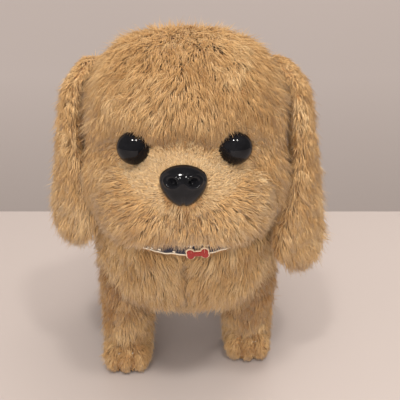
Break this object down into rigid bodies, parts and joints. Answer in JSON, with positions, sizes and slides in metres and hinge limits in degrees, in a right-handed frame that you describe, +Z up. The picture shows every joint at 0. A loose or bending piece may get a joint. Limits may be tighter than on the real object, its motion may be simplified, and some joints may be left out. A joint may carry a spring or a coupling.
{
  "type": "interactive plush pet",
  "caption": "Walking plush puppy toy: furry shell over a plastic chassis with geared motor, swinging legs, nodding head, loose ears, wagging tail, battery hatch and slide switch.",
  "frame": {"origin": "on the floor under the middle of the bounding box, close to the middle of the four feet", "axes": "+Z up, the puppy faces -Y, +X to its left side as it stands"},
  "size_m": [0.117, 0.182, 0.1651],
  "materials": {
    "housing_plastic": "moulded ABS, fine spark-eroded texture",
    "gear_nylon": "white acetal, slightly waxy",
    "steel": "zinc plated steel",
    "black_plastic": "black ABS",
    "eye_nose_gloss": "polished black moulded plastic",
    "cell_wrap": "plain printed shrink sleeve without lettering",
    "board_laminate": "green solder mask",
    "wire_sleeve": "PVC insulation",
    "rubber_black": "non-slip rubber",
    "plush_golden": "golden long-pile plush",
    "collar_ribbon": "woven ribbon, dark navy figures and cream edge",
    "charm_enamel": "red bone figure with a white rim"
  },
  "bodies": {
    "chassis": {"torso_shell_left": "housing_plastic", "torso_shell_right": "housing_plastic", "shell_screws": "steel", "neck_pin": "steel", "tail_pin": "steel", "battery_box": "housing_plastic", "batteries": "cell_wrap", "battery_contacts": "steel", "switch_housing": "housing_plastic", "circuit_board": "board_laminate", "speaker": "black_plastic", "wires": "wire_sleeve", "gearbox_plate_inner": "gear_nylon", "gearbox_plate_outer": "gear_nylon", "gearbox_posts": "steel", "idler_axles": "steel", "motor_can": "steel", "crank_bushes": "gear_nylon", "hip_studs": "steel", "neck_buffer": "rubber_black", "body_plush": "plush_golden", "collar_band": "collar_ribbon", "collar_bone": "charm_enamel"},
    "crank": {"crankshaft": "steel", "crank_gear": "gear_nylon", "crank_disc_left": "gear_nylon", "crank_disc_right": "gear_nylon"},
    "idler_second": {"idler_gear_second": "gear_nylon"},
    "idler_first": {"idler_gear_first": "gear_nylon"},
    "rotor": {"motor_shaft": "steel", "motor_pinion": "gear_nylon"},
    "bar_left": {"drive_bar_left": "gear_nylon"},
    "bar_right": {"drive_bar_right": "gear_nylon"},
    "head": {"neck_yoke": "housing_plastic", "neck_screws": "steel", "skull_front": "housing_plastic", "skull_rear": "housing_plastic", "head_plush": "plush_golden", "eyes": "eye_nose_gloss", "nose": "eye_nose_gloss", "face_washers": "gear_nylon"},
    "ear_left": {"ear_left": "plush_golden"},
    "ear_right": {"ear_right": "plush_golden"},
    "tail": {"tail_core": "housing_plastic", "tail_plush": "plush_golden"},
    "switch": {"switch_slider": "black_plastic"},
    "door": {"battery_door": "housing_plastic", "door_screw": "steel"},
    "leg_front_left": {"leg_core_front_left": "housing_plastic", "leg_plush_front_left": "plush_golden", "foot_sole_front_left": "rubber_black"},
    "leg_rear_left": {"leg_core_rear_left": "housing_plastic", "leg_plush_rear_left": "plush_golden", "foot_sole_rear_left": "rubber_black"},
    "leg_front_right": {"leg_core_front_right": "housing_plastic", "leg_plush_front_right": "plush_golden", "foot_sole_front_right": "rubber_black"},
    "leg_rear_right": {"leg_core_rear_right": "housing_plastic", "leg_plush_rear_right": "plush_golden", "foot_sole_rear_right": "rubber_black"}
  },
  "joints": [
    {"name": "crank_turn", "type": "hinge", "parent": "chassis", "child": "crank", "pos_m": [0, 0.0025, 0.0605], "axis": [1, 0, 0], "continuous": true},
    {"name": "idler_second_turn", "type": "hinge", "parent": "chassis", "child": "idler_second", "pos_m": [0, 0.01335, 0.06445], "axis": [1, 0, 0], "continuous": true},
    {"name": "idler_first_turn", "type": "hinge", "parent": "chassis", "child": "idler_first", "pos_m": [0, 0.0249, 0.06445], "axis": [1, 0, 0], "continuous": true},
    {"name": "rotor_turn", "type": "hinge", "parent": "chassis", "child": "rotor", "pos_m": [0, 0.03695, 0.06445], "axis": [1, 0, 0], "continuous": true},
    {"name": "leg_swing", "type": "hinge", "parent": "chassis", "child": "leg_front_left", "pos_m": [0, -0.02, 0.0485], "axis": [1, 0, 0], "range_deg": [-6, 18], "stiffness_Nm_per_rad": 2},
    {"name": "leg_swing_rear_left", "type": "hinge", "parent": "chassis", "child": "leg_rear_left", "pos_m": [0, 0.04, 0.0485], "axis": [1, 0, 0], "range_deg": [-6, 18]},
    {"name": "leg_swing_front_right", "type": "hinge", "parent": "chassis", "child": "leg_front_right", "pos_m": [0, -0.02, 0.0485], "axis": [1, 0, 0], "range_deg": [-18, 6]},
    {"name": "leg_swing_rear_right", "type": "hinge", "parent": "chassis", "child": "leg_rear_right", "pos_m": [0, 0.04, 0.0485], "axis": [1, 0, 0], "range_deg": [-18, 6]},
    {"name": "bar_left_slide", "type": "slide", "parent": "chassis", "child": "bar_left", "axis": [0, 1, 0], "range_m": [-0.00378, 0.00127]},
    {"name": "bar_right_slide", "type": "slide", "parent": "chassis", "child": "bar_right", "axis": [0, 1, 0], "range_m": [-0.00127, 0.00378]},
    {"name": "head_nod", "type": "hinge", "parent": "chassis", "child": "head", "pos_m": [0, -0.033, 0.078], "axis": [1, 0, 0], "range_deg": [-6, 5], "stiffness_Nm_per_rad": 3},
    {"name": "ear_left_flap", "type": "hinge", "parent": "head", "child": "ear_left", "pos_m": [-0.0416, -0.02, 0.1465], "axis": [0, 1, 0], "range_deg": [0, 35], "stiffness_Nm_per_rad": 0.3},
    {"name": "ear_right_flap", "type": "hinge", "parent": "head", "child": "ear_right", "pos_m": [0.0416, -0.02, 0.14375], "axis": [0, 1, 0], "range_deg": [-35, 0], "stiffness_Nm_per_rad": 0.3},
    {"name": "tail_wag", "type": "hinge", "parent": "chassis", "child": "tail", "pos_m": [0, 0.057, 0.068], "axis": [0, 0, 1], "range_deg": [-20, 20], "stiffness_Nm_per_rad": 0.05},
    {"name": "power_switch", "type": "slide", "parent": "chassis", "child": "switch", "axis": [1, 0, 0], "range_m": [0, 0.0036]},
    {"name": "battery_door_lift", "type": "slide", "parent": "chassis", "child": "door", "axis": [0, 0, -1], "range_m": [0, 0.02]}
  ],
  "couplings": [
    {"joint": "idler_second_turn", "follows": "crank_turn", "ratio": -3.6},
    {"joint": "idler_first_turn", "follows": "crank_turn", "ratio": 12.96},
    {"joint": "rotor_turn", "follows": "crank_turn", "ratio": -64.8},
    {"joint": "leg_swing_rear_left", "follows": "leg_swing", "ratio": 1},
    {"joint": "leg_swing_front_right", "follows": "leg_swing", "ratio": -1},
    {"joint": "leg_swing_rear_right", "follows": "leg_swing", "ratio": -1},
    {"joint": "bar_left_slide", "follows": "leg_swing", "m_per_rad": -0.012},
    {"joint": "bar_right_slide", "follows": "leg_swing", "m_per_rad": 0.012}
  ]
}
